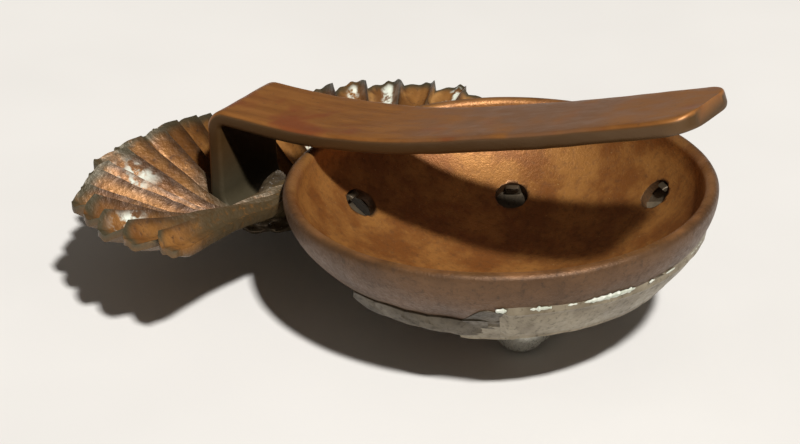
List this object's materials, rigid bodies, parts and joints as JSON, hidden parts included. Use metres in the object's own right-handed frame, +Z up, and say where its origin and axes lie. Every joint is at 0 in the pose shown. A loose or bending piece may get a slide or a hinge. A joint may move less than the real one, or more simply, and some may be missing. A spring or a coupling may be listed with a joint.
{
  "type": "cap badge",
  "caption": "Stamped metal cap badge: a bowl-shaped ball with a fluted spray of flames, a white-metal overlay and a strap slider on the back.",
  "frame": {"origin": "centre of the bounding box's base: the plane that the badge lies on, face down", "axes": "+X towards the slider's free tip and the ball's bottom, -X to the flames; +Z up, out of the badge's back"},
  "size_m": [0.0413, 0.0376, 0.0206],
  "materials": {
    "ball": "aged gilding metal, dull mauve-brown outside and orange-brown inside, pitted",
    "flames": "aged gilding metal, orange-brown in the flutes and dark olive at the tips",
    "slider": "rubbed copper-brown strip, satin",
    "overlay": "tarnished nickel silver, satin with bright rubbed spots",
    "solder": "dark grey soft solder, lumpy"
  },
  "bodies": {
    "root": {"ball_shell": "ball", "flame_spray": "flames", "slider": "slider", "overlay_wreath": "overlay", "overlay_scroll": "overlay", "overlay_boss": "overlay", "overlay_tab_1": "overlay", "overlay_tab_2": "overlay", "overlay_tab_3": "overlay", "overlay_tab_4": "overlay", "overlay_tab_5": "overlay", "overlay_tab_6": "overlay", "solder_slider_foot": "solder", "solder_neck_near": "solder", "solder_neck_far": "solder"}
  },
  "joints": []
}
